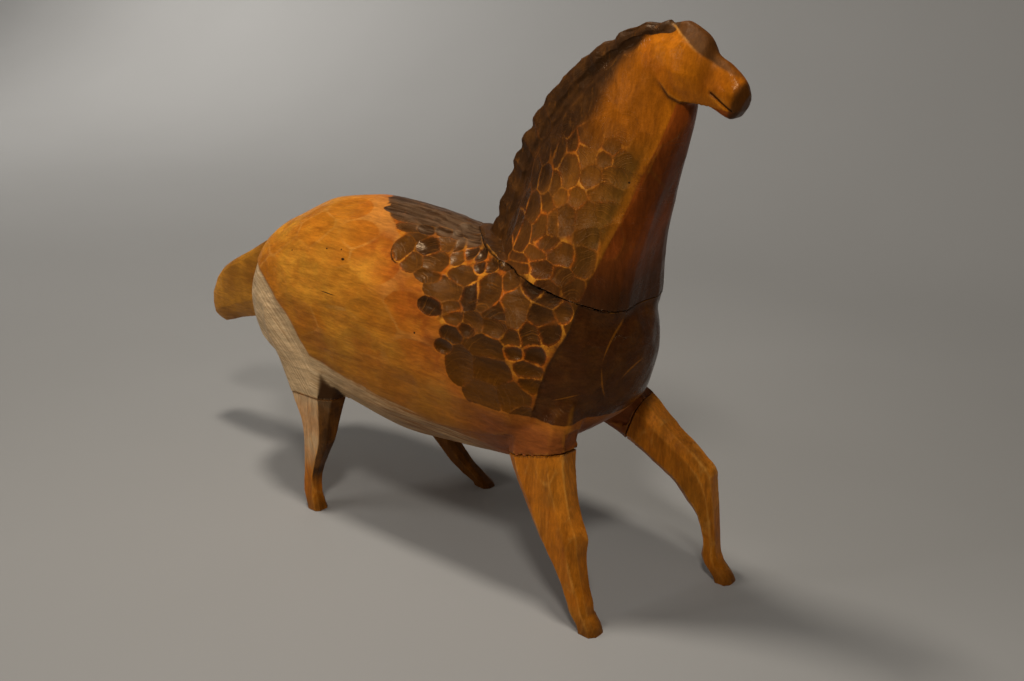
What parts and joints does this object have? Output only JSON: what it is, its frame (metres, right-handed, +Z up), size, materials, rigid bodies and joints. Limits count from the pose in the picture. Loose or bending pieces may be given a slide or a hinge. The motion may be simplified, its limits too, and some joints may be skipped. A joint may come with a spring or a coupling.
{
  "type": "horse sculpture",
  "caption": "Walking horse carved in stained wood with gouge-cut neck and shoulders, scalloped mane and faceted legs, for display on a shelf or table.",
  "frame": {"origin": "on the floor, under the middle of the horse's bounding box", "axes": "+X is the way the horse walks, +Y its left side, +Z up"},
  "size_m": [0.544, 0.137, 0.421],
  "materials": {
    "body_wood": "hand-carved, stained ochre to dark brown, waxed",
    "neck_wood": "gouge-cut, stained brown with rubbed orange ridges, waxed",
    "leg_wood": "knife-faceted, stained orange brown, waxed"
  },
  "bodies": {
    "root": {"body": "body_wood", "neck_and_head": "neck_wood", "right_foreleg": "leg_wood", "left_foreleg": "leg_wood", "right_hind_leg": "leg_wood", "left_hind_leg": "leg_wood"}
  },
  "joints": []
}
